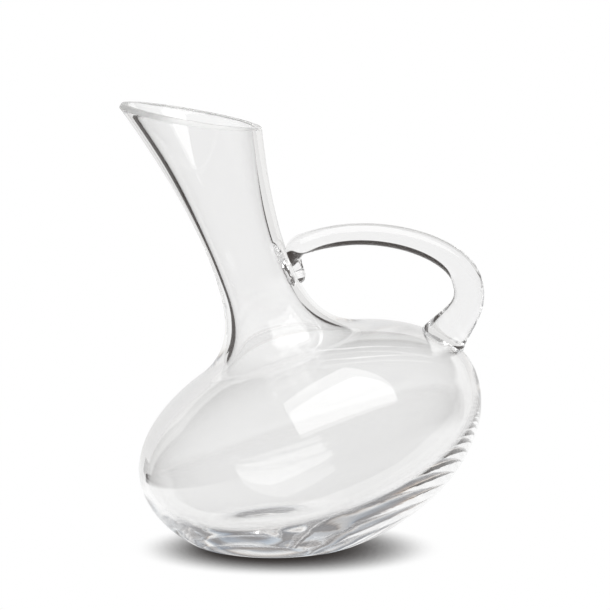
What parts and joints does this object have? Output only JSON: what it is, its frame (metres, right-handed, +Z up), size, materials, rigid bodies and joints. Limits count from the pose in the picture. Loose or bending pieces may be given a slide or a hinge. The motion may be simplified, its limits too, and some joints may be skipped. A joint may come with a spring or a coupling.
{
  "type": "wine carafe",
  "caption": "Clear glass wine carafe that leans on its rounded bowl, with a flared neck cut slantwise at the mouth and an applied loop handle.",
  "frame": {"origin": "centre of the ground flat that the carafe stands on", "axes": "+Z up; the pouring lip leans towards -X and the handle stands out towards +X, both in the plane Y = 0"},
  "size_m": [0.183, 0.1774, 0.2246],
  "materials": {
    "clear_glass": "clear, fire polished, with a ground and polished rim and base"
  },
  "bodies": {
    "root": {"vessel": "clear_glass", "handle": "clear_glass"}
  },
  "joints": []
}
